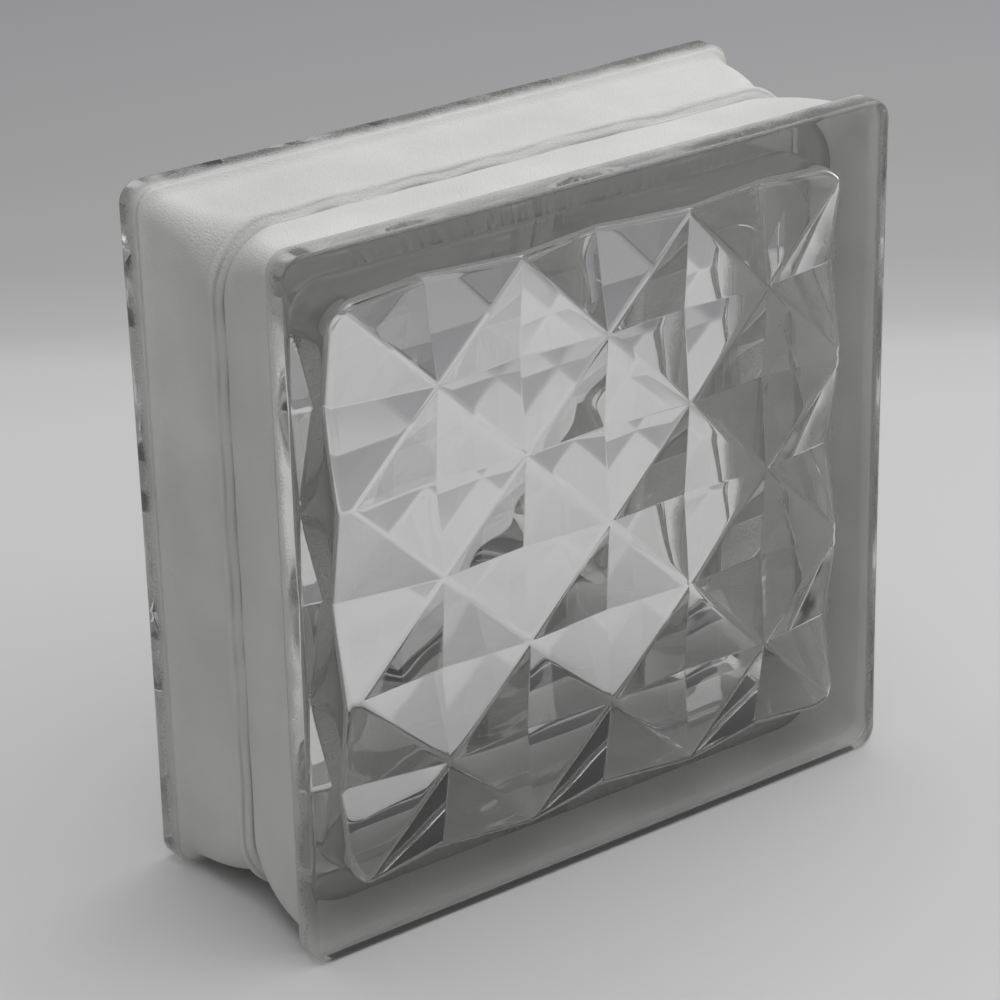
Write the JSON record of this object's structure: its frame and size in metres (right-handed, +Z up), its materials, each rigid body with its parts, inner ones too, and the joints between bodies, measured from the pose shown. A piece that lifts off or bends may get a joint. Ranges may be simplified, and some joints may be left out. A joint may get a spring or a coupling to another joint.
{
  "type": "glass block",
  "caption": "Square hollow glass block: two pressed halves with a pyramid relief inside, fused along a seam, with white coated mortar channels on the edges.",
  "frame": {"origin": "on the floor, below the middle of the block as it stands on its lips", "axes": "+X to the right along the front face, +Y from the front face to the back face, +Z up"},
  "size_m": [0.197, 0.076, 0.197],
  "materials": {
    "clear_glass": "smooth pressed glass with a faint grey-green tint",
    "white_coating": "matte white edge coating, slightly grainy"
  },
  "bodies": {
    "root": {"front_glass_half": "clear_glass", "back_glass_half": "clear_glass", "edge_coating": "white_coating"}
  },
  "joints": []
}
